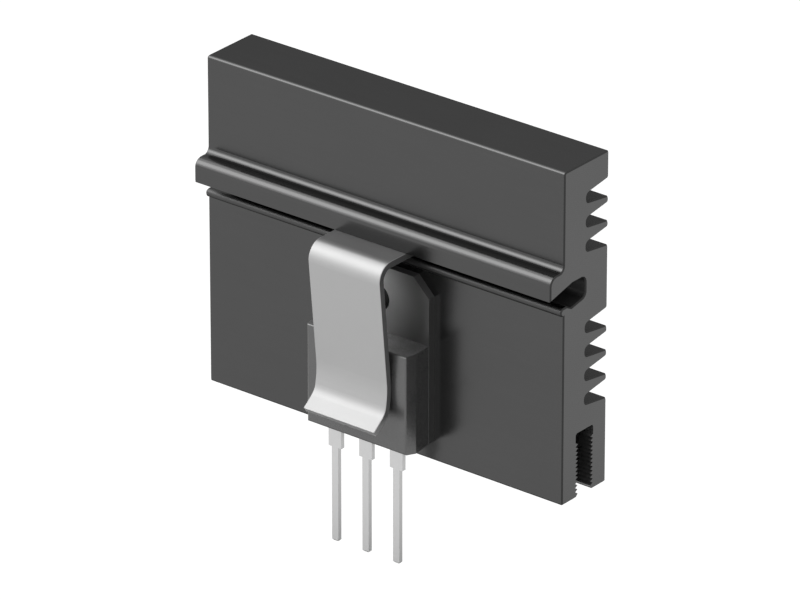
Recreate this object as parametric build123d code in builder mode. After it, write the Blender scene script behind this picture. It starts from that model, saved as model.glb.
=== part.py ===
from build123d import *
from math import cos, floor, radians, sin, tan
import os

os.makedirs("parts", exist_ok=True)

# All lengths are in millimetres and all angles in degrees.
# X runs along the extruded bar, Z is up, and the component side faces -Y.
# The origin is the middle of the screw channel's mouth in the foot of the bar.

# Heat sink bar: the extruded slab
BAR_LENGTH = 50.0
BAR_HEIGHT = 40.0
BAR_THICKNESS = 7.8
BAR_TOP_FRONT_RADIUS = 0.35
BAR_TOP_BACK_RADIUS = 0.25
BAR_END_CHAMFER = 0.15

# Heat sink bar: the undercut pocket that takes the spring's catch
POCKET_ABOVE_HEADER = 1.71
POCKET_MOUTH_WIDTH = 1.57
POCKET_DEPTH = 3.87
POCKET_ROOF_RISE = 0.93
POCKET_ROOF_START = 1.5
POCKET_STEP_EDGE = 0.6
POCKET_STEP_RUN = 0.8
POCKET_STEP_DROP = 0.4
POCKET_FLOOR_SLOPE = 11.0
POCKET_UPPER_RADIUS = 0.8
POCKET_LOWER_RADIUS = 0.7
BEAD_RADIUS = 0.5

# Heat sink bar: the hooked rail over the pocket, along the component side
RAIL_REACH = 2.36
RAIL_THICKNESS = 2.8
RAIL_NOSE_RADIUS = 1.1
RAIL_ROOT_RADIUS = 0.72

# Heat sink bar: the cooling grooves in the back
GROOVE_PITCH = 2.9
GROOVE_DEPTH = 3.9
GROOVE_MOUTH_WIDTH = 2.1
GROOVE_FLANK_ANGLE = 8.0
GROOVE_ROOT_RADIUS = 0.45
FIN_TIP_RADIUS = 0.37
GROOVE_ABOVE_POCKET = 3.45
GROOVE_ABOVE_CHANNEL = 3.5
GROOVE_LAND = 3.2

# Heat sink bar: the screw channel in the foot, its walls serrated to the pitch of the screw
SCREW_PITCH = 0.5
CHANNEL_CREST_WIDTH = 2.28
CHANNEL_TOOTH_DEPTH = 0.43
CHANNEL_HEIGHT = 7.9
CHANNEL_LEAD_IN = 0.5
CHANNEL_RUN_OUT = 1.2
CHANNEL_TOP_RADIUS = 0.35
FOOT_INNER_CHAMFER = 0.42
FOOT_OUTER_RADIUS = 0.2

# Power transistor: its metal header, which lies flat on the bar
HEADER_WIDTH = 14.4
HEADER_BOTTOM_HEIGHT = 2.4
HEADER_LENGTH = 19.8
HEADER_THICKNESS = 1.0
HEADER_CORNER_CUT = 2.15
HOLE_DIAMETER = 3.3
HOLE_FROM_TOP = 3.95

# Power transistor: its moulded case in front of the header, widest at its parting line
CASE_LENGTH = 11.95
CASE_THICKNESS = 3.8
CASE_OVERHANG = 0.07
CASE_REAR_DRAFT = 0.1
CASE_FRONT_DRAFT = 0.33
CASE_PARTING_FROM_FRONT = 1.45
CASE_BOTTOM_DRAFT = 0.23
CASE_FRONT_EDGE_RADIUS = 0.2

# Power transistor: its three flat leads
LEAD_PITCH = 4.35
LEAD_THICKNESS = 0.55
LEAD_FRONT_SETBACK = 1.6
LEAD_WIDTH = 0.9
LEAD_SHOULDER_WIDTH = 1.8
LEAD_SHOULDER_LENGTH = 3.1
LEAD_LENGTH = 14.8
LEAD_TIP_CHAMFER = 0.16
LEAD_ANCHOR_LENGTH = 2.4
LEAD_ANCHOR_WIDTH = 3.0
LEAD_ANCHOR_START = 0.7
POST_WIDTH = 2.4
POST_LENGTH = 1.4

# Power transistor: the chip soldered on the header, and its two bond wires
CHIP_WIDTH = 4.6
CHIP_LENGTH = 4.6
CHIP_THICKNESS = 0.35
CHIP_ABOVE_CASE_BOTTOM = 5.2
BOND_WIRE_DIAMETER = 0.38
BOND_WIRE_ON_CHIP = 1.3
BOND_WIRE_END_INSET = 0.76
BOND_WIRE_RISE = 0.9
BOND_WIRE_BEND_RADIUS = 0.7

# Retaining spring: one bent strip of spring steel
SPRING_WIDTH = 10.0
SPRING_THICKNESS = 0.8
SPRING_TOP_BEND_RADIUS = 1.2
SPRING_LEG_TILT = 5.7
SPRING_CONTACT_HEIGHT = 9.73
SPRING_CONTACT_RADIUS = 9.5
SPRING_KNEE_TILT = 9.0
SPRING_KNEE_LENGTH = 2.9
SPRING_FLARE_RADIUS = 2.7
SPRING_FLARE_TILT = 52.0
SPRING_FLARE_LENGTH = 2.78
SPRING_CATCH_ANGLE = 35.0
SPRING_CATCH_START = 0.9
SPRING_CATCH_RADIUS = 0.6
SPRING_EDGE_RADIUS = 0.1

# Clearances between pieces
SPRING_SEAT_GAP = 0.02
CATCH_FLOOR_GAP = 0.05

# Drawing limits: a rounding's largest share of its wall, and how closely a corner's place is matched
ROUNDING_SHARE = 0.47
SAME_PLACE = 1e-6

# Faces that several pieces share
front_face = -BAR_THICKNESS / 2
back_face = BAR_THICKNESS / 2
header_front = front_face - HEADER_THICKNESS
case_front = header_front - CASE_THICKNESS
header_top = HEADER_BOTTOM_HEIGHT + HEADER_LENGTH
case_bottom = HEADER_BOTTOM_HEIGHT
case_top = case_bottom + CASE_LENGTH

# Heat sink bar, one extrusion, with its pocket just above the transistor
pocket_floor_height = header_top + POCKET_ABOVE_HEADER
rail_underside_height = pocket_floor_height + POCKET_MOUTH_WIDTH
rail_crest_height = rail_underside_height + RAIL_THICKNESS
pocket_roof_height = rail_underside_height + POCKET_ROOF_RISE
rail_front = front_face - RAIL_REACH
roof_start = front_face + POCKET_ROOF_START
pocket_back = front_face + POCKET_DEPTH
step_edge = front_face + POCKET_STEP_EDGE
step_foot = step_edge + POCKET_STEP_RUN
step_foot_height = pocket_floor_height - POCKET_STEP_DROP
floor_slope = tan(radians(POCKET_FLOOR_SLOPE))
floor_back_height = step_foot_height + (pocket_back - step_foot) * floor_slope

groove_heights = []
for lowest, ceiling in (
    (CHANNEL_HEIGHT + GROOVE_ABOVE_CHANNEL, pocket_floor_height),
    (pocket_roof_height + GROOVE_ABOVE_POCKET, BAR_HEIGHT),
):
    groove_count = 1 + floor((ceiling - GROOVE_LAND - lowest) / GROOVE_PITCH)
    groove_heights += [lowest + GROOVE_PITCH * n for n in range(groove_count)]
groove_root_width = GROOVE_MOUTH_WIDTH - 2 * GROOVE_DEPTH * tan(radians(GROOVE_FLANK_ANGLE))
groove_root_radius = min(GROOVE_ROOT_RADIUS, groove_root_width * ROUNDING_SHARE)
fin_tip_radius = min(FIN_TIP_RADIUS, (GROOVE_PITCH - GROOVE_MOUTH_WIDTH) * ROUNDING_SHARE)


def groove_corners(section, depth):
    """Return the section's corners in the cooling grooves, at a depth below the back face."""
    return section.vertices().filter_by(
        lambda corner: abs(corner.X - back_face + depth) < SAME_PLACE
        and min(abs(corner.Y - height) for height in groove_heights) < GROOVE_MOUTH_WIDTH
    )


crest = CHANNEL_CREST_WIDTH / 2
valley = crest + CHANNEL_TOOTH_DEPTH
tooth_count = floor((CHANNEL_HEIGHT - CHANNEL_LEAD_IN - CHANNEL_RUN_OUT) / SCREW_PITCH)
rear_wall = [(crest, 0), (crest, CHANNEL_LEAD_IN)]
for n in range(tooth_count):
    root_height = CHANNEL_LEAD_IN + (n + 0.5) * SCREW_PITCH
    rear_wall += [(valley, root_height), (crest, root_height + SCREW_PITCH / 2)]
channel_shoulder = CHANNEL_LEAD_IN + (tooth_count + 0.5) * SCREW_PITCH
rear_wall += [(valley, channel_shoulder), (valley, CHANNEL_HEIGHT)]
front_wall = [(-y, height) for y, height in rear_wall]

with BuildPart() as heat_sink_bar:
    with BuildSketch(Plane.YZ.offset(-BAR_LENGTH / 2)) as bar_section:
        with Locations((0, BAR_HEIGHT / 2)):
            Rectangle(BAR_THICKNESS, BAR_HEIGHT)

        # The rail, whose sloped underside runs on into the pocket's roof
        with BuildLine():
            Polyline(
                (rail_front, rail_underside_height),
                (rail_front, rail_crest_height),
                (roof_start, rail_crest_height),
                (roof_start, pocket_roof_height),
                close=True,
            )
        make_face()

        # The pocket, with a step in its floor that catches the spring
        with BuildLine():
            Polyline(
                (rail_front, rail_underside_height),
                (roof_start, pocket_roof_height),
                (pocket_back, pocket_roof_height),
                (pocket_back, floor_back_height),
                (step_foot, step_foot_height),
                (step_edge, pocket_floor_height),
                (rail_front, pocket_floor_height),
                close=True,
            )
        make_face(mode=Mode.SUBTRACT)
        with Locations((front_face, pocket_floor_height - BEAD_RADIUS)):
            Circle(BEAD_RADIUS)

        # The cooling grooves
        with Locations([(back_face, height) for height in groove_heights]):
            Polygon(
                (0, GROOVE_MOUTH_WIDTH / 2),
                (-GROOVE_DEPTH, groove_root_width / 2),
                (-GROOVE_DEPTH, -groove_root_width / 2),
                (0, -GROOVE_MOUTH_WIDTH / 2),
                align=None,
                mode=Mode.SUBTRACT,
            )

        # The screw channel
        with BuildLine():
            Polyline(*rear_wall, *reversed(front_wall), close=True)
        make_face(mode=Mode.SUBTRACT)

        # Rounded corners, each group found by where its corners stand
        for spot, radius in (
            ((front_face, BAR_HEIGHT), BAR_TOP_FRONT_RADIUS),
            ((back_face, BAR_HEIGHT), BAR_TOP_BACK_RADIUS),
            ((front_face, rail_crest_height), RAIL_ROOT_RADIUS),
            ((rail_front, rail_crest_height), RAIL_NOSE_RADIUS),
            ((front_face, 0), FOOT_OUTER_RADIUS),
            ((back_face, 0), FOOT_OUTER_RADIUS),
            ((pocket_back, pocket_roof_height), POCKET_UPPER_RADIUS),
            ((pocket_back, floor_back_height), POCKET_LOWER_RADIUS),
            ((valley, CHANNEL_HEIGHT), CHANNEL_TOP_RADIUS),
            ((-valley, CHANNEL_HEIGHT), CHANNEL_TOP_RADIUS),
        ):
            fillet(bar_section.vertices().sort_by_distance(spot)[0], radius=radius)
        for side in (-crest, crest):
            chamfer(bar_section.vertices().sort_by_distance((side, 0))[0], length=FOOT_INNER_CHAMFER)
        fillet(groove_corners(bar_section, 0), radius=fin_tip_radius)
        fillet(groove_corners(bar_section, GROOVE_DEPTH), radius=groove_root_radius)
    extrude(amount=BAR_LENGTH)

    # The sawn ends, deburred one after the other, all round except in the screw channel
    for end in (0, -1):
        sawn_face = faces().filter_by(Axis.X).sort_by(Axis.X)[end]
        deburred = sawn_face.edges().filter_by(
            lambda edge: abs(edge.center().Y) > valley + SAME_PLACE
            or edge.center().Z > CHANNEL_HEIGHT + SAME_PLACE
        )
        chamfer(deburred, length=BAR_END_CHAMFER)

heat_sink_bar.part.label = "heat_sink_bar"
export_step(heat_sink_bar.part, "parts/heat_sink_bar.step")

# Transistor header: the flat metal plate, with a raised post for the centre lead
lead_front = case_front + LEAD_FRONT_SETBACK
lead_back = lead_front + LEAD_THICKNESS
lead_tip = case_bottom - LEAD_LENGTH
shoulder_end = case_bottom - LEAD_SHOULDER_LENGTH
anchor_bottom = case_bottom + LEAD_ANCHOR_START
anchor_top = anchor_bottom + LEAD_ANCHOR_LENGTH

with BuildPart() as transistor_header:
    with BuildSketch(Plane.XZ.offset(-front_face)):
        with Locations((0, HEADER_BOTTOM_HEIGHT + HEADER_LENGTH / 2)):
            outline = Rectangle(HEADER_WIDTH, HEADER_LENGTH)
        chamfer(outline.vertices().group_by(Axis.Y)[-1], length=HEADER_CORNER_CUT)
        with Locations((0, header_top - HOLE_FROM_TOP)):
            Circle(HOLE_DIAMETER / 2, mode=Mode.SUBTRACT)
    extrude(amount=HEADER_THICKNESS)
    with BuildSketch(Plane.XZ.offset(-header_front)):
        with Locations((0, anchor_top - POST_LENGTH / 2)):
            Rectangle(POST_WIDTH, POST_LENGTH)
    extrude(amount=header_front - lead_back)

transistor_header.part.label = "transistor_header"
export_step(transistor_header.part, "parts/transistor_header.step")

# Outer leads, each with a wide bond post that anchors it in the case
with BuildPart() as transistor_lead_left:
    with BuildSketch(Plane.XZ.offset(-lead_back)):
        with Locations((-LEAD_PITCH, (lead_tip + anchor_top) / 2)):
            Rectangle(LEAD_WIDTH, anchor_top - lead_tip)
        with Locations((-LEAD_PITCH, (shoulder_end + anchor_top) / 2)):
            Rectangle(LEAD_SHOULDER_WIDTH, anchor_top - shoulder_end)
        with Locations((-LEAD_PITCH, (anchor_bottom + anchor_top) / 2)):
            Rectangle(LEAD_ANCHOR_WIDTH, LEAD_ANCHOR_LENGTH)
    extrude(amount=LEAD_THICKNESS)
    chamfer(faces().sort_by(Axis.Z)[0].edges(), length=LEAD_TIP_CHAMFER)

transistor_lead_left.part.label = "transistor_lead_left"
export_step(transistor_lead_left.part, "parts/transistor_lead_left.step")

with BuildPart() as transistor_lead_right:
    mirror(transistor_lead_left.part, about=Plane.YZ)

transistor_lead_right.part.label = "transistor_lead_right"
export_step(transistor_lead_right.part, "parts/transistor_lead_right.step")

# Centre lead, brazed by its wide end to the header's post
with BuildPart() as transistor_lead_centre:
    with BuildSketch(Plane.XZ.offset(-lead_back)):
        with Locations((0, (lead_tip + anchor_top) / 2)):
            Rectangle(LEAD_WIDTH, anchor_top - lead_tip)
        with Locations((0, (shoulder_end + anchor_top) / 2)):
            Rectangle(LEAD_SHOULDER_WIDTH, anchor_top - shoulder_end)
        with Locations((0, anchor_top - POST_LENGTH / 2)):
            Rectangle(POST_WIDTH, POST_LENGTH)
    extrude(amount=LEAD_THICKNESS)
    chamfer(faces().sort_by(Axis.Z)[0].edges(), length=LEAD_TIP_CHAMFER)

transistor_lead_centre.part.label = "transistor_lead_centre"
export_step(transistor_lead_centre.part, "parts/transistor_lead_centre.step")

# Chip, soldered on the header
chip_bottom = case_bottom + CHIP_ABOVE_CASE_BOTTOM
chip_front = header_front - CHIP_THICKNESS
with BuildPart() as transistor_chip:
    with BuildSketch(Plane.XZ.offset(-header_front)):
        with Locations((0, chip_bottom + CHIP_LENGTH / 2)):
            Rectangle(CHIP_WIDTH, CHIP_LENGTH)
    extrude(amount=CHIP_THICKNESS)

transistor_chip.part.label = "transistor_chip"
export_step(transistor_chip.part, "parts/transistor_chip.step")

# Bond wires, from the chip to the post of each outer lead
wire_crown = lead_front - BOND_WIRE_RISE
wire_on_chip = chip_bottom + BOND_WIRE_END_INSET
wire_on_post = anchor_top - BOND_WIRE_END_INSET
with BuildPart() as bond_wire_left:
    with BuildLine() as wire_path:
        FilletPolyline(
            (-BOND_WIRE_ON_CHIP, chip_front, wire_on_chip),
            (-BOND_WIRE_ON_CHIP, wire_crown, wire_on_chip),
            (-LEAD_PITCH, wire_crown, wire_on_post),
            (-LEAD_PITCH, lead_front, wire_on_post),
            radius=BOND_WIRE_BEND_RADIUS,
        )
    with BuildSketch(Plane(origin=wire_path.line @ 0, z_dir=wire_path.line % 0)):
        Circle(BOND_WIRE_DIAMETER / 2)
    sweep()

bond_wire_left.part.label = "bond_wire_left"
export_step(bond_wire_left.part, "parts/bond_wire_left.step")

with BuildPart() as bond_wire_right:
    mirror(bond_wire_left.part, about=Plane.YZ)

bond_wire_right.part.label = "bond_wire_right"
export_step(bond_wire_right.part, "parts/bond_wire_right.step")

# Moulded case, drafted both ways from its parting line, and solid around what it holds
parting_plane = case_front + CASE_PARTING_FROM_FRONT
parting_side = HEADER_WIDTH / 2 + CASE_OVERHANG
rear_side = parting_side - CASE_REAR_DRAFT
front_side = parting_side - CASE_FRONT_DRAFT
with BuildPart() as transistor_case:
    with BuildSketch(Plane.XY.offset(case_bottom - CASE_BOTTOM_DRAFT)):
        with BuildLine():
            Polyline(
                (-rear_side, header_front),
                (rear_side, header_front),
                (parting_side, parting_plane),
                (front_side, case_front),
                (-front_side, case_front),
                (-parting_side, parting_plane),
                close=True,
            )
        make_face()
    extrude(amount=CASE_LENGTH + CASE_BOTTOM_DRAFT)
    with BuildSketch(Plane.YZ):
        with BuildLine():
            Polyline(
                (header_front, case_bottom),
                (parting_plane, case_bottom - CASE_BOTTOM_DRAFT),
                (case_front, case_bottom),
                (case_front, case_top),
                (header_front, case_top),
                close=True,
            )
        make_face()
    extrude(amount=parting_side, both=True, mode=Mode.INTERSECT)
    fillet(faces().sort_by(Axis.Y)[0].edges(), radius=CASE_FRONT_EDGE_RADIUS)
    for held in (
        transistor_header,
        transistor_lead_left,
        transistor_lead_centre,
        transistor_lead_right,
        transistor_chip,
        bond_wire_left,
        bond_wire_right,
    ):
        add(held.part, mode=Mode.SUBTRACT)

transistor_case.part.label = "transistor_case"
export_step(transistor_case.part, "parts/transistor_case.step")

# Retaining spring, drawn along the side that faces the transistor
spring_underside = rail_underside_height - SPRING_SEAT_GAP - SPRING_THICKNESS
catch_start = front_face + SPRING_CATCH_START
catch_sine = sin(radians(SPRING_CATCH_ANGLE))
catch_cosine = cos(radians(SPRING_CATCH_ANGLE))
floor_under_catch = step_foot_height + (catch_start - step_foot) * floor_slope
catch_drop = spring_underside - floor_under_catch - CATCH_FLOOR_GAP
catch_length = catch_drop / (catch_sine + floor_slope * catch_cosine)

contact_half_turn = radians(SPRING_LEG_TILT + SPRING_KNEE_TILT) / 2
contact_bias = radians(SPRING_KNEE_TILT - SPRING_LEG_TILT) / 2
contact_crown = SPRING_CONTACT_RADIUS * (cos(contact_bias) / cos(contact_half_turn) - 1)
contact_y = case_front - SPRING_SEAT_GAP + contact_crown
leg_top_y = contact_y - (spring_underside - SPRING_CONTACT_HEIGHT) * tan(radians(SPRING_LEG_TILT))
knee_y = contact_y - SPRING_KNEE_LENGTH * sin(radians(SPRING_KNEE_TILT))
knee_height = SPRING_CONTACT_HEIGHT - SPRING_KNEE_LENGTH * cos(radians(SPRING_KNEE_TILT))
flare_end_y = knee_y - SPRING_FLARE_LENGTH * sin(radians(SPRING_FLARE_TILT))
flare_end_height = knee_height - SPRING_FLARE_LENGTH * cos(radians(SPRING_FLARE_TILT))

with BuildPart() as retaining_spring:
    with BuildSketch(Plane.YZ.offset(-SPRING_WIDTH / 2)):
        with BuildLine():
            FilletPolyline(
                (catch_start + catch_length * catch_cosine, spring_underside - catch_length * catch_sine),
                (catch_start, spring_underside),
                (leg_top_y, spring_underside),
                (contact_y, SPRING_CONTACT_HEIGHT),
                (knee_y, knee_height),
                (flare_end_y, flare_end_height),
                radius=(
                    SPRING_CATCH_RADIUS,
                    SPRING_TOP_BEND_RADIUS,
                    SPRING_CONTACT_RADIUS,
                    SPRING_FLARE_RADIUS,
                ),
            )
            offset(amount=SPRING_THICKNESS, side=Side.RIGHT)
        make_face()
    extrude(amount=SPRING_WIDTH)
    strip_sides = faces().sort_by(Axis.X)[0].edges() + faces().sort_by(Axis.X)[-1].edges()
    fillet(strip_sides, radius=SPRING_EDGE_RADIUS)

retaining_spring.part.label = "retaining_spring"
export_step(retaining_spring.part, "parts/retaining_spring.step")
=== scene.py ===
"""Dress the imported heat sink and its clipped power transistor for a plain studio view.

Everything is in metres in the row frame: X runs along the bar, -Y points out of the component
side, and Z points up from the foot. What lies on a piece's skin, its textures and its zones, is
given in millimetres in the same frame.
"""

import logging
import math
import operator
from abc import ABC, abstractmethod
from dataclasses import dataclass
from enum import Enum
from functools import reduce
from typing import Any, Mapping, Optional, Union

import bpy
from mathutils import Matrix, Vector


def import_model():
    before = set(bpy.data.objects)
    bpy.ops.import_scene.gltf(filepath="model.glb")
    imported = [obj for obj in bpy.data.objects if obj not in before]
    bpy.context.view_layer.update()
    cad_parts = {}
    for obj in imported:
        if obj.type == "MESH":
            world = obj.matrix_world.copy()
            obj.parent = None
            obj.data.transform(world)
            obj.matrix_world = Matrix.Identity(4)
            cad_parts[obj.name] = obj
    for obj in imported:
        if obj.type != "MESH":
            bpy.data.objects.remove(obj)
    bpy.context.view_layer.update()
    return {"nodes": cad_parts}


LOG = logging.getLogger("heat_sink")
MILLIMETRES_PER_METRE = 1000.0
WHITE = (1.0, 1.0, 1.0, 1.0)

Colour = tuple[float, float, float]
Ramp = tuple[float, float]
Number = Union[float, "Signal"]


class Signal:
    """One output socket of a shader node, usable as a number in Python expressions."""

    def __init__(self, graph: "Graph", socket: bpy.types.NodeSocket) -> None:
        """Wrap a socket.

        Args:
            graph: The node graph that the socket belongs to.
            socket: The output socket.
        """
        self.graph = graph
        self.socket = socket

    def _math(self, operation: str, first: Number, second: Number) -> "Signal":
        """Add one Math node.

        Args:
            operation: Blender's name for the operation.
            first: The first operand.
            second: The second operand.

        Returns:
            The result of the node.
        """
        node = self.graph.node("ShaderNodeMath", {"operation": operation}, {0: first, 1: second})
        return Signal(self.graph, node.outputs[0])

    def __add__(self, other: Number) -> "Signal":
        """Return self + other."""
        return self._math("ADD", self, other)

    __radd__ = __add__

    def __sub__(self, other: Number) -> "Signal":
        """Return self - other."""
        return self._math("SUBTRACT", self, other)

    def __rsub__(self, other: Number) -> "Signal":
        """Return other - self."""
        return self._math("SUBTRACT", other, self)

    def __mul__(self, other: Number) -> "Signal":
        """Return self * other."""
        return self._math("MULTIPLY", self, other)

    __rmul__ = __mul__

    def __abs__(self) -> "Signal":
        """Return the size of self without its sign."""
        return self._math("ABSOLUTE", self, 0.0)

    def sine(self) -> "Signal":
        """Return the sine of self, in radians."""
        return self._math("SINE", self, 0.0)

    def root(self) -> "Signal":
        """Return the square root of self."""
        return self._math("SQRT", self, 0.0)

    def at_most(self, other: Number) -> "Signal":
        """Return the smaller of self and other."""
        return self._math("MINIMUM", self, other)

    def step(self, ramp: Ramp) -> "Signal":
        """Rise smoothly from 0 to 1 along a ramp.

        Args:
            ramp: The value of self where the result leaves 0, and the one where it reaches 1,
                which may be the smaller one.

        Returns:
            The smoothed mask.
        """
        low, high = ramp
        node = self.graph.node(
            "ShaderNodeMapRange",
            {"interpolation_type": "SMOOTHSTEP"},
            {"Value": self, "From Min": low, "From Max": high},
        )
        return Signal(self.graph, node.outputs["Result"])


@dataclass(frozen=True)
class Texture:
    """Cloudy noise on a skin, and how much it changes the shade, the roughness and the relief.

    The stretch has a factor along X, Y and Z, and a small one draws the clouds out into lines
    along that axis. The scale is in clouds per millimetre, and the detail in octaves of finer
    noise.
    """

    stretch: tuple[float, float, float] = (1.0, 1.0, 1.0)
    scale: float = 1.0
    detail: float = 2.0
    shade: float = 0.0
    rough: float = 0.0
    relief: float = 0.0


class Graph:
    """The node tree of a material or of the world."""

    def __init__(self, tree: bpy.types.NodeTree) -> None:
        """Take over a tree and empty it.

        Args:
            tree: The node tree to fill.
        """
        self.tree = tree
        self.tree.nodes.clear()

    def node(
        self,
        kind: str,
        settings: Optional[Mapping[str, Any]] = None,
        inputs: Optional[Mapping[Union[str, int], Any]] = None,
    ) -> bpy.types.Node:
        """Add a node, set it up and feed it.

        Args:
            kind: Blender's type name of the node.
            settings: The node's own properties, set before its sockets.
            inputs: Socket name or index to a value, a Signal or an output socket.

        Returns:
            The new node.
        """
        node = self.tree.nodes.new(kind)
        for name, value in (settings or {}).items():
            setattr(node, name, value)
        for name, value in (inputs or {}).items():
            if isinstance(value, Signal):
                self.tree.links.new(value.socket, node.inputs[name])
            elif isinstance(value, bpy.types.NodeSocket):
                self.tree.links.new(value, node.inputs[name])
            else:
                node.inputs[name].default_value = value
        return node

    def place(
        self, stretch: tuple[float, float, float] = (1.0, 1.0, 1.0)
    ) -> bpy.types.NodeSocket:
        """Return the point on the piece in millimetres, stretched along each axis.

        Args:
            stretch: Factors along X, Y and Z.

        Returns:
            The vector socket.
        """
        point = self.node("ShaderNodeTexCoord").outputs["Object"]
        factors = tuple(MILLIMETRES_PER_METRE * factor for factor in stretch)
        settings = {"operation": "MULTIPLY"}
        return self.node("ShaderNodeVectorMath", settings, {0: point, 1: factors}).outputs[0]

    def axis(self, vector: bpy.types.NodeSocket, name: str) -> Signal:
        """Return one component of a vector.

        Args:
            vector: The vector socket.
            name: X, Y or Z.

        Returns:
            The component.
        """
        return Signal(self, self.node("ShaderNodeSeparateXYZ", None, {0: vector}).outputs[name])

    def facing(self, name: str) -> Signal:
        """Return one component of the surface's normal.

        Args:
            name: X, Y or Z.

        Returns:
            The component, from -1 to 1.
        """
        return self.axis(self.node("ShaderNodeNewGeometry").outputs["Normal"], name)

    def noise(self, texture: Texture) -> Signal:
        """Return a texture's noise about zero, from about -0.5 to 0.5.

        Args:
            texture: The texture.

        Returns:
            The noise value.
        """
        point = self.place(texture.stretch)
        node = self.node(
            "ShaderNodeTexNoise", None,
            {"Vector": point, "Scale": texture.scale, "Detail": texture.detail},
        )
        return Signal(self, node.outputs["Fac"]) - 0.5

    def tint(self, colour: Colour, strength: Signal) -> bpy.types.NodeSocket:
        """Return a colour scaled by a value.

        Args:
            colour: The linear colour.
            strength: The factor.

        Returns:
            The colour socket.
        """
        settings = {"operation": "SCALE"}
        node = self.node("ShaderNodeVectorMath", settings, {0: colour, "Scale": strength})
        return node.outputs[0]

    def bump(self, height: Signal, depth: float, strength: float) -> bpy.types.NodeSocket:
        """Return a normal bent by a height.

        Args:
            height: The height, about one unit from low to high.
            depth: The height of one unit, in millimetres.
            strength: How much of the bend is used.

        Returns:
            The normal socket.
        """
        distance = depth / MILLIMETRES_PER_METRE
        inputs = {"Height": height, "Distance": distance, "Strength": strength}
        return self.node("ShaderNodeBump", None, inputs).outputs["Normal"]


@dataclass(frozen=True)
class Zone:
    """A soft-edged place in a piece's section.

    Each edge is a ramp from outside the zone to inside it, front and back along Y, bottom and
    top along Z. Where an edge is left out, the zone has no end on that side.
    """

    front: Optional[Ramp] = None
    back: Optional[Ramp] = None
    bottom: Optional[Ramp] = None
    top: Optional[Ramp] = None

    def mask(self, graph: Graph) -> Signal:
        """Return 1 inside the zone and 0 outside it.

        Args:
            graph: The material's node graph.

        Returns:
            The smoothed mask.
        """
        point = graph.place()
        depth, height = graph.axis(point, "Y"), graph.axis(point, "Z")
        edges = (
            (depth, self.front), (depth, self.back), (height, self.bottom), (height, self.top)
        )
        steps = [place.step(ramp) for place, ramp in edges if ramp is not None]
        return reduce(operator.mul, steps)


@dataclass(frozen=True)
class SawMarks:
    """Fine slanted lines across a sawn end, a little wavy, with their shade and relief."""

    pitch: float = 0.24
    slant: float = 0.32
    wander: float = 5.0
    waves: Texture = Texture(scale=0.5)
    shade: float = 0.012
    relief: float = 0.10

    def lines(self, graph: Graph) -> Signal:
        """Return the lines, from -1 to 1.

        Args:
            graph: The material's node graph.

        Returns:
            The value of the lines.
        """
        point = graph.place()
        slanted = graph.axis(point, "Z") + self.slant * graph.axis(point, "Y")
        turns = slanted * (math.tau / self.pitch) + self.wander * graph.noise(self.waves)
        return turns.sine()


def new_material(name: str) -> tuple[bpy.types.Material, Graph]:
    """Make an empty node-based material.

    Args:
        name: The material's name.

    Returns:
        The material and its graph.
    """
    material = bpy.data.materials.new(name)
    material.use_nodes = True
    return material, Graph(material.node_tree)


@dataclass(frozen=True)
class Finish(ABC):
    """A material of one kind of surface.

    Each subclass adds what varies over the surface in dress(). The relief's depth is in
    millimetres.
    """

    name: str
    colour: Colour
    roughness: float
    metallic: float = 0.0
    specular: float = 0.5
    index: float = 1.5
    edge_tint: float = 1.0
    relief_depth: float = 0.003
    relief_strength: float = 0.25

    def material(self) -> bpy.types.Material:
        """Make the material.

        Returns:
            The new node-based material.
        """
        material, graph = new_material(self.name)
        fixed = {
            "Metallic": self.metallic,
            "IOR": self.index,
            "Specular IOR Level": self.specular,
            "Specular Tint": (self.edge_tint, self.edge_tint, self.edge_tint, 1.0),
        }
        skin = graph.node("ShaderNodeBsdfPrincipled", None, {**fixed, **self.dress(graph)})
        graph.node("ShaderNodeOutputMaterial", None, {"Surface": skin.outputs["BSDF"]})
        return material

    @abstractmethod
    def dress(self, graph: Graph) -> dict[str, Any]:
        """Return what the shader's varying sockets are fed with.

        Args:
            graph: The material's node graph.

        Returns:
            Socket names of the Principled shader and their values.
        """

    def skin(self, graph: Graph, shade: Signal, rough: Signal, relief: Signal) -> dict[str, Any]:
        """Return the varying sockets of a skin with a shade, a roughness and a relief.

        Args:
            graph: The material's node graph.
            shade: The factor on the colour.
            rough: What is added to the roughness.
            relief: The height, about one unit from low to high.

        Returns:
            Socket names of the Principled shader and their values.
        """
        return {
            "Base Color": graph.tint(self.colour, shade),
            "Roughness": self.roughness + rough,
            "Normal": graph.bump(relief, self.relief_depth, self.relief_strength),
        }


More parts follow.
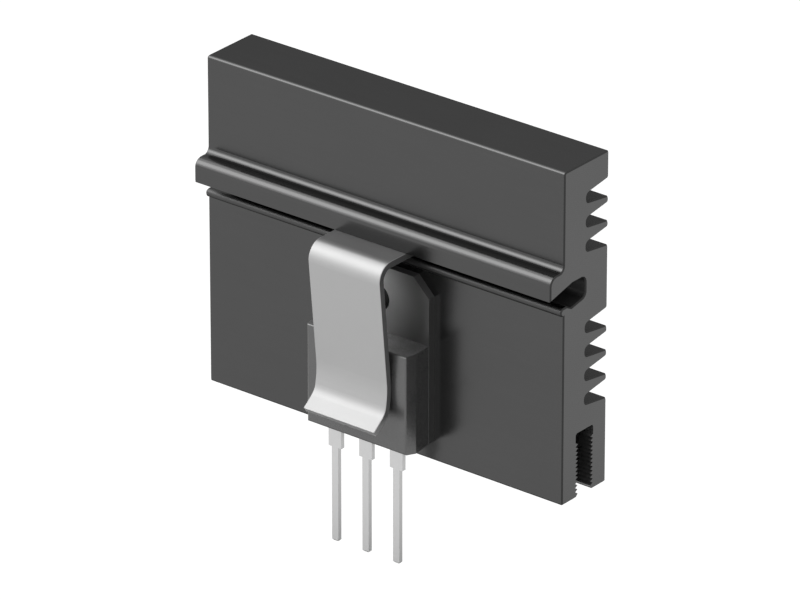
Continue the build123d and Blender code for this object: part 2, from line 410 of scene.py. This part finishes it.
@dataclass(frozen=True)
class AnodisedExtrusion(Finish):
    """Black anodised aluminium: die lines along the extrusion, fine etched grain and sawn ends.

    The bead and the deburred rim of the ends are duller, and painted shade darkens the rim. The
    spring's pocket and the screw channel, which the etch reaches least, are dull too; painted
    shade darkens the pocket, and painted light lifts the channel, most at its mouth.
    """

    die_lines: Texture = Texture(
        (0.125, 6.25, 6.25), detail=3.0, shade=0.10, rough=0.05, relief=0.35
    )
    clouds: Texture = Texture(scale=0.09, detail=3.0, shade=0.08)
    grain: Texture = Texture(scale=1.0 / 0.045, detail=1.0, shade=0.10, rough=0.06, relief=0.5)
    saw_marks: SawMarks = SawMarks()
    sawn_dullness: float = 0.03
    sawn_facing: Ramp = (0.9, 0.98)
    rim_facing: Ramp = (0.05, 0.35)
    rim_end_facing: Ramp = (0.85, 0.97)
    # painted shade: how much the rim of the sawn ends is darkened
    rim_painted_shade: float = 0.3
    pocket: Zone = Zone(front=(-3.7, -2.9), back=(0.3, 0.1), bottom=(23.2, 23.4), top=(27.0, 26.7))
    # painted shade: how much the spring's pocket is darkened
    pocket_painted_shade: float = 0.2
    channel: Zone = Zone(front=(-1.7, -1.6), back=(1.7, 1.6), top=(8.4, 8.1))
    # painted light: how much the screw channel is lightened
    channel_painted_light: float = 0.8
    mouth: Zone = Zone(top=(0.6, 0.4))
    # painted light: how much more the channel's mouth is lightened
    mouth_painted_light: float = 4.5
    bead: Zone = Zone(back=(-3.92, -4.0), bottom=(22.8, 22.9), top=(24.0, 23.94))
    bead_dullness: float = 0.6
    inner_dullness: float = 0.35

    def dress(self, graph: Graph) -> dict[str, Any]:
        """Return the anodised skin's varying sockets; see Finish.dress."""
        ends = abs(graph.facing("X"))
        sawn = ends.step(self.sawn_facing)
        rim = ends.step(self.rim_facing) - ends.step(self.rim_end_facing)
        drawn = 1.0 - sawn
        lines = graph.noise(self.die_lines) * drawn
        marks = self.saw_marks.lines(graph) * sawn
        clouds, grain = graph.noise(self.clouds), graph.noise(self.grain)

        pocket, channel = self.pocket.mask(graph), self.channel.mask(graph)
        # painted light in the screw channel and painted shade in the spring's pocket
        channel_paint = self.channel_painted_light + self.mouth_painted_light * self.mouth.mask(graph)
        inside = (channel_paint * channel - self.pocket_painted_shade * pocket) * drawn
        hollows = pocket + channel + self.bead_dullness * self.bead.mask(graph)
        dull = (hollows * drawn + rim).at_most(1.0)

        shade = 1.0 + self.die_lines.shade * lines + self.saw_marks.shade * marks
        shade = shade + self.clouds.shade * clouds + self.grain.shade * grain
        rough = self.die_lines.rough * lines + self.grain.rough * grain
        rough = rough + self.sawn_dullness * sawn + self.inner_dullness * dull
        relief = self.die_lines.relief * lines + self.saw_marks.relief * marks
        relief = relief + self.grain.relief * grain
        # painted shade on the rim and in the pocket, painted light in the channel
        rim_and_hollow_paint = (1.0 - self.rim_painted_shade * rim) * (1.0 + inside)
        return self.skin(graph, shade * rim_and_hollow_paint, rough, relief)


@dataclass(frozen=True)
class RolledStrip(Finish):
    """Bright spring steel strip: rolling lines along the strip and plain sheared edges.

    Painted shade darkens the sheared edges, more at the bend, and the flat top of the bend. The
    lifting tab's edges and its end, which leans down by the tab's tilt in degrees, carry painted
    light that lifts them above the rest of the edge.
    """

    rolling_lines: Texture = Texture(
        (1.0 / 0.07, 0.35, 0.35), detail=3.0, shade=0.05, rough=0.06, relief=1.0
    )
    clouds: Texture = Texture(scale=0.35, shade=0.05, rough=0.05)
    sheared_facing: Ramp = (0.8, 0.95)
    # painted shade: how much the sheared edges are darkened
    sheared_painted_shade: float = 0.57
    sheared_dullness: float = 0.08
    top_facing: Ramp = (0.9, 1.0)
    # painted shade: how much the flat top of the bend is darkened
    top_painted_shade: float = 0.5
    bend: Zone = Zone(bottom=(21.5, 24.5))
    # painted shade: how much more the sheared edges are darkened at the bend
    bend_painted_shade: float = 0.08
    tab: Zone = Zone(top=(7.2, 6.0))
    # painted light: how much the lifting tab's edges and end are lightened
    tab_painted_light: float = 0.45
    tab_tilt: float = 52.0
    tab_end_facing: Ramp = (0.95, 0.99)

    def dress(self, graph: Graph) -> dict[str, Any]:
        """Return the strip's varying sockets; see Finish.dress."""
        lines, clouds = graph.noise(self.rolling_lines), graph.noise(self.clouds)
        sheared = abs(graph.facing("X")).step(self.sheared_facing)
        top = graph.facing("Z").step(self.top_facing)
        tilt = math.radians(self.tab_tilt)
        leaning = -math.sin(tilt) * graph.facing("Y") - math.cos(tilt) * graph.facing("Z")
        tab_end = leaning.step(self.tab_end_facing)

        # painted shade on the sheared edges, more at the bend and less on the tab
        bend_paint = self.bend_painted_shade * self.bend.mask(graph)
        edge_paint = self.sheared_painted_shade - self.tab_painted_light * self.tab.mask(graph) + bend_paint
        shade = 1.0 + self.rolling_lines.shade * lines + self.clouds.shade * clouds
        # painted shade on the sheared edges and the flat top, painted light on the tab's end
        shade = shade - edge_paint * sheared - self.top_painted_shade * top + self.tab_painted_light * tab_end
        rough = self.rolling_lines.rough * lines + self.clouds.rough * clouds
        rough = rough + self.sheared_dullness * sheared
        return self.skin(graph, shade, rough, self.rolling_lines.relief * lines)


@dataclass(frozen=True)
class MouldedCompound(Finish):
    """Epoxy moulding compound with a spark-eroded mould's fine grain, and painted light on top."""

    grain: Texture = Texture(scale=1.0 / 0.06, shade=0.25, rough=0.12, relief=1.0)
    clouds: Texture = Texture(scale=0.4, detail=3.0, shade=0.12, rough=0.06)
    lit_top_facing: Ramp = (0.92, 1.0)
    # painted light: how much the faces that look up are lightened
    top_painted_light: float = 2.4
    relief_depth: float = 0.006
    relief_strength: float = 0.35

    def dress(self, graph: Graph) -> dict[str, Any]:
        """Return the compound's varying sockets; see Finish.dress."""
        grain, clouds = graph.noise(self.grain), graph.noise(self.clouds)
        upward = graph.facing("Z").step(self.lit_top_facing)
        shade = 1.0 + self.grain.shade * grain + self.clouds.shade * clouds + self.top_painted_light * upward
        rough = self.grain.rough * grain + self.clouds.rough * clouds
        return self.skin(graph, shade, rough, self.grain.relief * grain)


@dataclass(frozen=True)
class PlatedCopper(Finish):
    """Copper alloy under a dull plated skin, with a cloudy sheen and faint drawing lines.

    Painted shade darkens its sheared sides and what faces down, and the stamped slopes that face
    up are duller.
    """

    grain: Texture = Texture(scale=1.0 / 0.05, shade=0.05, rough=0.08, relief=0.5)
    clouds: Texture = Texture(scale=0.6, shade=0.06, rough=0.10)
    drawing_lines: Texture = Texture((9.0, 9.0, 0.25), relief=1.0)
    sheared_facing: Ramp = (0.5, 0.75)
    # painted shade: how much the sheared sides are darkened
    sheared_painted_shade: float = 0.3
    under_facing: Ramp = (-0.3, -0.6)
    # painted shade: how much what faces down is darkened
    under_painted_shade: float = 0.4
    stamped_facing: Ramp = (0.3, 0.6)
    stamped_dullness: float = 0.35

    def dress(self, graph: Graph) -> dict[str, Any]:
        """Return the plating's varying sockets; see Finish.dress."""
        grain, clouds = graph.noise(self.grain), graph.noise(self.clouds)
        lines = graph.noise(self.drawing_lines)
        sheared = abs(graph.facing("X")).step(self.sheared_facing)
        under = graph.facing("Z").step(self.under_facing)
        stamped = graph.facing("Z").step(self.stamped_facing)
        shade = 1.0 + self.grain.shade * grain + self.clouds.shade * clouds
        # painted shade on the sheared sides and on what faces down
        shade = shade - self.sheared_painted_shade * sheared - self.under_painted_shade * under
        rough = self.grain.rough * grain + self.clouds.rough * clouds
        rough = rough + self.stamped_dullness * stamped
        relief = self.grain.relief * grain + self.drawing_lines.relief * lines
        # painted light and shade, which only the transistor's plate has
        return self.skin(graph, shade * self.painted_light_and_shade(graph), rough, relief)

    def painted_light_and_shade(self, graph: Graph) -> Number:
        """Return the factor of painted light and shade on the colour; here none is painted.

        Args:
            graph: The material's node graph.

        Returns:
            The factor on the colour.
        """
        return 1.0


@dataclass(frozen=True)
class HeaderPlating(PlatedCopper):
    """The plating of the transistor's plate, with painted light round the plate's hole.

    Painted shade darkens it where the top is stamped and on the sheared sides. The painted light
    is a ramp of the distance from the hole's middle.
    """

    hole_height: float = 18.25
    # painted light: where the light round the hole fades, by distance from its middle
    hole_light_reach: Ramp = (6.8, 2.2)
    # painted light: how much the plate is lightened round the hole
    hole_painted_light: float = 2.1
    # painted shade: how much the stamped top is darkened
    stamped_painted_shade: float = 0.5
    side_facing: Ramp = (0.85, 0.95)
    # painted shade: how much the sheared sides are darkened
    side_painted_shade: float = 0.3

    def painted_light_and_shade(self, graph: Graph) -> Number:
        """Return the factor of painted light round the hole and painted shade on the edges; see
        the base class.
        """
        point = graph.place()
        side, rise = graph.axis(point, "X"), graph.axis(point, "Z") - self.hole_height
        ring = (side * side + rise * rise).root().step(self.hole_light_reach)
        stamped = graph.facing("Z").step(self.stamped_facing)
        sides = abs(graph.facing("X")).step(self.side_facing)
        # painted light round the hole, then painted shade on the stamped top and the sides
        flat = 1.0 + self.hole_painted_light * ring * (1.0 - stamped)
        return flat * (1.0 - self.stamped_painted_shade * stamped - self.side_painted_shade * sides)


@dataclass(frozen=True)
class GroundSilicon(Finish):
    """The chip's silicon, with straight grinding lines."""

    grinding_lines: Texture = Texture((20.0, 20.0, 0.5), shade=0.2, rough=0.1)

    def dress(self, graph: Graph) -> dict[str, Any]:
        """Return the silicon's varying sockets; see Finish.dress."""
        lines = graph.noise(self.grinding_lines)
        return {
            "Base Color": graph.tint(self.colour, 1.0 + self.grinding_lines.shade * lines),
            "Roughness": self.roughness + self.grinding_lines.rough * lines,
        }


ANODISED = AnodisedExtrusion(
    "black_anodised_aluminium", (0.083, 0.083, 0.083), 0.25, metallic=1.0, edge_tint=0.35
)
STRIP = RolledStrip("spring_steel", (0.46, 0.46, 0.46), 0.60, metallic=1.0)
COMPOUND = MouldedCompound(
    "moulding_compound", (0.035, 0.035, 0.035), 0.28, specular=0.95, index=1.6
)
HEADER_PLATE = HeaderPlating(
    "header_copper", (0.32, 0.32, 0.32), 0.36, metallic=1.0, sheared_painted_shade=0.0
)
TINNED = PlatedCopper("tinned_lead", (0.63, 0.63, 0.63), 0.42, metallic=1.0)
SILICON = GroundSilicon("chip_silicon", (0.2, 0.2, 0.22), 0.3, metallic=1.0)
BOND_METAL = PlatedCopper("bond_aluminium", (0.8, 0.8, 0.8), 0.3, metallic=1.0)


@dataclass(frozen=True)
class SubAssembly:
    """A group of CAD nodes whose shapes stay as they are, and the finish that each one wears."""

    name: str
    finishes: Mapping[str, Finish]

    def dress(self, nodes: Mapping[str, bpy.types.Object]) -> None:
        """Assign each node its material and report it.

        Args:
            nodes: The frame's CAD nodes by name.
        """
        made: dict[Finish, bpy.types.Material] = {}
        for node, finish in self.finishes.items():
            if finish not in made:
                made[finish] = finish.material()
            materials = nodes[node].data.materials
            materials.clear()
            materials.append(made[finish])
            LOG.info("%s: %s wears %s", self.name, node, finish.name)


HEAT_SINK = SubAssembly("heat sink", {"heat_sink_bar": ANODISED})
CLIP = SubAssembly("clip", {"retaining_spring": STRIP})
TRANSISTOR = SubAssembly(
    "transistor",
    {
        "transistor_case": COMPOUND,
        "transistor_header": HEADER_PLATE,
        "transistor_lead_left": TINNED,
        "transistor_lead_centre": TINNED,
        "transistor_lead_right": TINNED,
        "transistor_chip": SILICON,
        "bond_wire_left": BOND_METAL,
        "bond_wire_right": BOND_METAL,
    },
)


class Ray(Enum):
    """Kinds of ray that see the white background instead of the light level."""

    CAMERA = "Is Camera Ray"
    GLOSSY = "Is Glossy Ray"
    TRANSMISSION = "Is Transmission Ray"


def seeing_ray(graph: Graph) -> Signal:
    """Return 1 for a ray that shows the background and 0 for one that carries diffuse light.

    Args:
        graph: The graph to add the nodes to.

    Returns:
        The mask.
    """
    path = graph.node("ShaderNodeLightPath")
    rays = [Signal(graph, path.outputs[ray.value]) for ray in Ray]
    return reduce(operator.add, rays).at_most(1.0)


def square_to_bar(direction: Vector) -> tuple[Vector, Vector, Vector]:
    """Return the axes of a flat thing that faces the part and stands square to the bar.

    Args:
        direction: From the part to the thing.

    Returns:
        Its axis nearest to the bar's length, the axis across that, and the direction as a unit
        vector.
    """
    outward = direction.normalized()
    along = Vector((1.0, 0.0, 0.0))
    along = (along - outward * along.dot(outward)).normalized()
    return along, outward.cross(along), outward


def staged_sheet(
    name: str, centre: Vector, side: Vector, rise: Vector, material: bpy.types.Material
) -> bpy.types.Object:
    """Make a flat sheet that belongs to the studio and not to the part.

    Args:
        name: The sheet's name.
        centre: Its middle.
        side: From its middle to the middle of one edge.
        rise: From its middle to the middle of the next edge.
        material: Its material.

    Returns:
        The new object, linked to the scene.
    """
    signs = ((-1, -1), (1, -1), (1, 1), (-1, 1))
    corners = [centre + along * side + across * rise for along, across in signs]
    mesh = bpy.data.meshes.new(name)
    mesh.from_pydata(corners, [], [(0, 1, 2, 3)])
    mesh.materials.append(material)
    sheet = bpy.data.objects.new(name, mesh)
    bpy.context.scene.collection.objects.link(sheet)
    return sheet


@dataclass(frozen=True)
class Lamp:
    """A rectangular soft box aimed at the part."""

    name: str
    direction: Vector
    distance: float
    width: float
    height: float
    radiance: float

    def build(self, aim: Vector) -> None:
        """Hang the lamp.

        Args:
            aim: The point that it lights.
        """
        data = bpy.data.lights.new(self.name, "AREA")
        data.shape = "RECTANGLE"
        data.size = self.width
        data.size_y = self.height
        data.energy = self.radiance * math.pi * self.width * self.height
        lamp = bpy.data.objects.new(self.name, data)
        along, across, outward = square_to_bar(self.direction)
        lamp.location = aim + outward * self.distance
        lamp.rotation_mode = "QUATERNION"
        lamp.rotation_quaternion = Matrix((along, across, outward)).transposed().to_quaternion()
        lamp.visible_camera = False
        bpy.context.scene.collection.objects.link(lamp)
        LOG.info("lamp %s", self.name)


@dataclass(frozen=True)
class Card:
    """A matt card that keeps light off one side of the part.

    The camera doesn't see it, and it casts no shadow.
    """

    name: str
    direction: Vector
    distance: float
    width: float
    height: float
    colour: Colour

    def build(self, aim: Vector) -> None:
        """Stand the card.

        Args:
            aim: The point that it faces.
        """
        material, graph = new_material(self.name)
        matt = graph.node("ShaderNodeBsdfDiffuse", None, {"Color": (*self.colour, 1.0)})
        graph.node("ShaderNodeOutputMaterial", None, {"Surface": matt.outputs["BSDF"]})
        along, across, outward = square_to_bar(self.direction)
        centre = aim + outward * self.distance
        side, rise = along * (self.width / 2), across * (self.height / 2)
        card = staged_sheet(self.name, centre, side, rise, material)
        card.visible_camera = False
        card.visible_shadow = False
        LOG.info("card %s", self.name)


@dataclass(frozen=True)
class Studio:
    """White surroundings, a pale floor, soft boxes, and a dark card below the part."""

    aim: Vector = Vector((0.0, -0.004, 0.018))
    light_level: float = 0.55
    floor_height: float = -0.045
    floor_reach: float = 1.6
    floor_colour: Colour = (0.86, 0.86, 0.86)
    floor_roughness: float = 0.9
    floor_glow: float = 1.16
    floor_shadow: float = 0.22

    lamps: tuple[Lamp, ...] = (
        Lamp("key_box", Vector((-0.563, -0.500, 0.658)), 0.60, 0.34, 0.34, 2.45),
        Lamp("key_skirt", Vector((-0.563, -0.430, 0.706)), 0.60, 0.50, 0.84, 1.22),
        Lamp("end_box", Vector((0.711, 0.633, -0.305)), 0.1064, 0.07, 0.058, 0.72),
    )
    under_card: Card = Card(
        "under_card", Vector((0.0, 0.0, -1.0)), 0.05, 0.10, 0.05, (0.01, 0.01, 0.01)
    )

    def build(self) -> None:
        """Set the view transform, the world, the floor, the lamps and the card."""
        bpy.context.scene.view_settings.view_transform = "Standard"
        self.world()
        self.floor()
        for lamp in self.lamps:
            lamp.build(self.aim)
        self.under_card.build(self.aim)

    def world(self) -> None:
        """Light the part evenly, and show white where the background is seen."""
        world = bpy.data.worlds.new("white_surroundings")
        bpy.context.scene.world = world
        world.use_nodes = True
        graph = Graph(world.node_tree)
        strength = self.light_level + seeing_ray(graph) * (1.0 - self.light_level)
        sky = graph.node("ShaderNodeBackground", None, {"Color": WHITE, "Strength": strength})
        graph.node("ShaderNodeOutputWorld", None, {"Surface": sky.outputs["Background"]})

    def floor(self) -> None:
        """Lay the floor, which shows white and keeps a share of the part's shadow."""
        material, graph = new_material("pale_floor")
        skin = {
            "Base Color": (*self.floor_colour, 1.0),
            "Roughness": self.floor_roughness,
            "Specular IOR Level": 0.0,
        }
        matt = graph.node("ShaderNodeBsdfPrincipled", None, skin)
        glow = graph.node("ShaderNodeEmission", None, {"Strength": self.floor_glow})
        share = seeing_ray(graph) * (1.0 - self.floor_shadow)
        mixed = {"Fac": share, 1: matt.outputs["BSDF"], 2: glow.outputs["Emission"]}
        both = graph.node("ShaderNodeMixShader", None, mixed)
        graph.node("ShaderNodeOutputMaterial", None, {"Surface": both.outputs["Shader"]})

        centre = Vector((0.0, 0.0, self.floor_height))
        side, rise = Vector((self.floor_reach, 0.0, 0.0)), Vector((0.0, self.floor_reach, 0.0))
        staged_sheet("floor", centre, side, rise, material)


@dataclass(frozen=True)
class PhotographCamera:
    """The camera at the photograph's angle.

    The part is seen from its right-hand end, from above; azimuth 0 looks along +Y. Angles are in
    degrees, the lens and the sensor in millimetres, and the picture's sizes in pixels.
    """

    azimuth: float = 38.6466
    elevation: float = 25.5793
    distance: float = 0.93758
    aim: Vector = Vector((0.0, -0.00001, 0.01994))
    slide_right: float = -0.000546
    slide_up: float = -0.003572
    focal_length: float = 382.9
    sensor_width: float = 36.0
    picture_width: float = 800.0
    half_pixel: float = 0.5
    nearest: float = 0.01
    farthest: float = 10.0

    def build(self) -> None:
        """Place the camera and make it the scene's own."""
        turn, tilt = math.radians(self.azimuth), math.radians(self.elevation)
        level = math.cos(tilt)
        back = Vector((math.sin(turn) * level, -math.cos(turn) * level, math.sin(tilt)))
        right = Vector((math.cos(turn), math.sin(turn), 0.0))
        up = back.cross(right)
        data = bpy.data.cameras.new("photograph_camera")
        data.sensor_width = self.sensor_width
        data.lens = self.focal_length
        data.shift_x = -self.half_pixel / self.picture_width
        data.shift_y = self.half_pixel / self.picture_width
        data.clip_start, data.clip_end = self.nearest, self.farthest
        camera = bpy.data.objects.new("photograph_camera", data)
        camera.rotation_mode = "QUATERNION"
        camera.rotation_quaternion = Matrix((right, up, back)).transposed().to_quaternion()
        slide = right * self.slide_right + up * self.slide_up
        camera.location = self.aim + slide + back * self.distance
        bpy.context.scene.collection.objects.link(camera)
        bpy.context.scene.camera = camera
        LOG.info("camera at azimuth %s, elevation %s", self.azimuth, self.elevation)


def main() -> None:
    """Load the frame, dress the pieces, and set up the studio and the camera."""
    logging.basicConfig(level=logging.INFO, format="%(name)s: %(message)s")
    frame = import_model()
    PhotographCamera().build()
    for part in (HEAT_SINK, CLIP, TRANSISTOR):
        part.dress(frame["nodes"])
    Studio().build()


if __name__ == "__main__":
    main()
